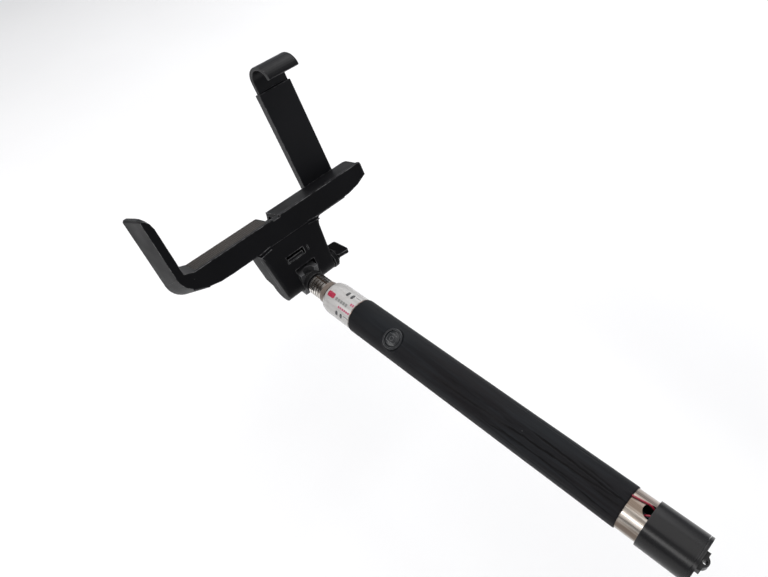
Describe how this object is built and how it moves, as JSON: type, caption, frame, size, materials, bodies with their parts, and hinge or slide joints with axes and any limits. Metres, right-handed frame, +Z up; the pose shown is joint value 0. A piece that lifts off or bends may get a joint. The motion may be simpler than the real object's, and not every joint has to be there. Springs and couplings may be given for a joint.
{
  "type": "selfie stick",
  "caption": "Telescopic selfie stick with a rubber grip, wireless shutter button and a tilting phone holder with a sliding hooked arm.",
  "frame": {"origin": "on the stick's axis, at the middle of the hand grip", "axes": "+Y along the stick towards the phone holder, +X towards the wing knob, +Z up out of the grip on the side that the holder stands up from"},
  "size_m": [0.1342, 0.3042, 0.1166],
  "materials": {
    "grip_rubber": "fine longitudinal streaks, matte",
    "steel_tube": "bright rolled steel",
    "label_film": "clear film over pale print",
    "neck_plastic": "brownish translucent",
    "gloss_black": "semi gloss",
    "satin_black": "satin",
    "holder_plastic": "fine moulded grain",
    "arm_plastic": "satin",
    "tongue_plastic": "grey moulded",
    "pad_rubber": "brownish grey, ribbed",
    "washer_rubber": "matte",
    "bolt_steel": "plated",
    "nut_brass": "plain",
    "plug_aluminium": "turned",
    "bush_plastic": "natural",
    "board_green": "solder mask",
    "wire_red": "insulated wire",
    "cell_wrap": "shrink wrap",
    "led_lens": "clear blue"
  },
  "bodies": {
    "handle": {"handle_tube": "steel_tube", "grip_sleeve": "grip_rubber", "wrap_label": "label_film", "neck_bush": "neck_plastic", "button_bezel": "satin_black", "dome_switch": "bolt_steel", "button_board": "board_green", "signal_wires": "wire_red", "end_cap": "gloss_black", "end_plug": "gloss_black", "module_carrier": "satin_black", "battery_cell": "cell_wrap", "main_board": "board_green", "usb_socket": "bolt_steel", "switch_body": "bolt_steel", "status_led": "led_lens"},
    "button": {"shutter_button": "gloss_black"},
    "power_switch": {"switch_knob": "satin_black"},
    "stage_2": {"section_2": "steel_tube", "friction_bush_2": "bush_plastic", "tip_ring_2": "steel_tube"},
    "stage_3": {"section_3": "steel_tube", "friction_bush_3": "bush_plastic", "tip_ring_3": "steel_tube"},
    "stage_4": {"section_4": "steel_tube", "friction_bush_4": "bush_plastic", "tip_ring_4": "steel_tube"},
    "stage_5": {"section_5": "steel_tube", "friction_bush_5": "bush_plastic", "tip_ring_5": "steel_tube"},
    "stage_6": {"section_6": "steel_tube", "friction_bush_6": "bush_plastic", "tip_ring_6": "steel_tube"},
    "stage_7": {"section_7": "steel_tube", "friction_bush_7": "bush_plastic", "tip_plug": "plug_aluminium", "lock_collar": "satin_black", "tongue_screw": "bolt_steel"},
    "tilt_tongue": {"tongue": "tongue_plastic"},
    "cradle": {"cradle_front": "holder_plastic", "cradle_back": "holder_plastic", "ledge_pad": "pad_rubber", "cover_screws": "bolt_steel", "clevis_nut": "nut_brass", "tilt_washers": "washer_rubber", "arm_spring": "bolt_steel"},
    "wing_knob": {"thumb_knob": "holder_plastic", "pivot_bolt": "bolt_steel"},
    "arm": {"slide_arm": "arm_plastic"},
    "jaw": {"upper_jaw": "arm_plastic", "jaw_spring": "bolt_steel"}
  },
  "joints": [
    {"name": "shutter_press", "type": "slide", "parent": "handle", "child": "button", "axis": [0.4695, 0, -0.8829], "range_m": [0, 0.0006], "stiffness_N_per_m": 1500, "springref_m": -0.0006},
    {"name": "power_slide", "type": "slide", "parent": "handle", "child": "power_switch", "axis": [0, 1, 0], "range_m": [0, 0.002]},
    {"name": "extend_2", "type": "slide", "parent": "handle", "child": "stage_2", "axis": [0, 1, 0], "range_m": [0, 0.128]},
    {"name": "extend_3", "type": "slide", "parent": "stage_2", "child": "stage_3", "axis": [0, 1, 0], "range_m": [0, 0.128]},
    {"name": "extend_4", "type": "slide", "parent": "stage_3", "child": "stage_4", "axis": [0, 1, 0], "range_m": [0, 0.128]},
    {"name": "extend_5", "type": "slide", "parent": "stage_4", "child": "stage_5", "axis": [0, 1, 0], "range_m": [0, 0.128]},
    {"name": "extend_6", "type": "slide", "parent": "stage_5", "child": "stage_6", "axis": [0, 1, 0], "range_m": [0, 0.128]},
    {"name": "extend_7", "type": "slide", "parent": "stage_6", "child": "stage_7", "axis": [0, 1, 0], "range_m": [0, 0.128]},
    {"name": "head_swivel", "type": "hinge", "parent": "stage_7", "child": "tilt_tongue", "pos_m": [0, 0.12, 0], "axis": [0, 1, 0], "continuous": true},
    {"name": "head_tilt", "type": "hinge", "parent": "tilt_tongue", "child": "cradle", "pos_m": [0, 0.1297, 0], "axis": [1, 0, 0], "range_deg": [-67.7, 22.3]},
    {"name": "knob_turn", "type": "hinge", "parent": "cradle", "child": "wing_knob", "pos_m": [0, 0.1297, 0], "axis": [1, 0, 0], "continuous": true},
    {"name": "arm_slide", "type": "slide", "parent": "cradle", "child": "arm", "axis": [0, 0.3795, 0.9252], "range_m": [-0.012, 0.008]},
    {"name": "jaw_slide", "type": "slide", "parent": "arm", "child": "jaw", "axis": [0, 0.3795, 0.9252], "range_m": [-0.005, 0.01]}
  ]
}
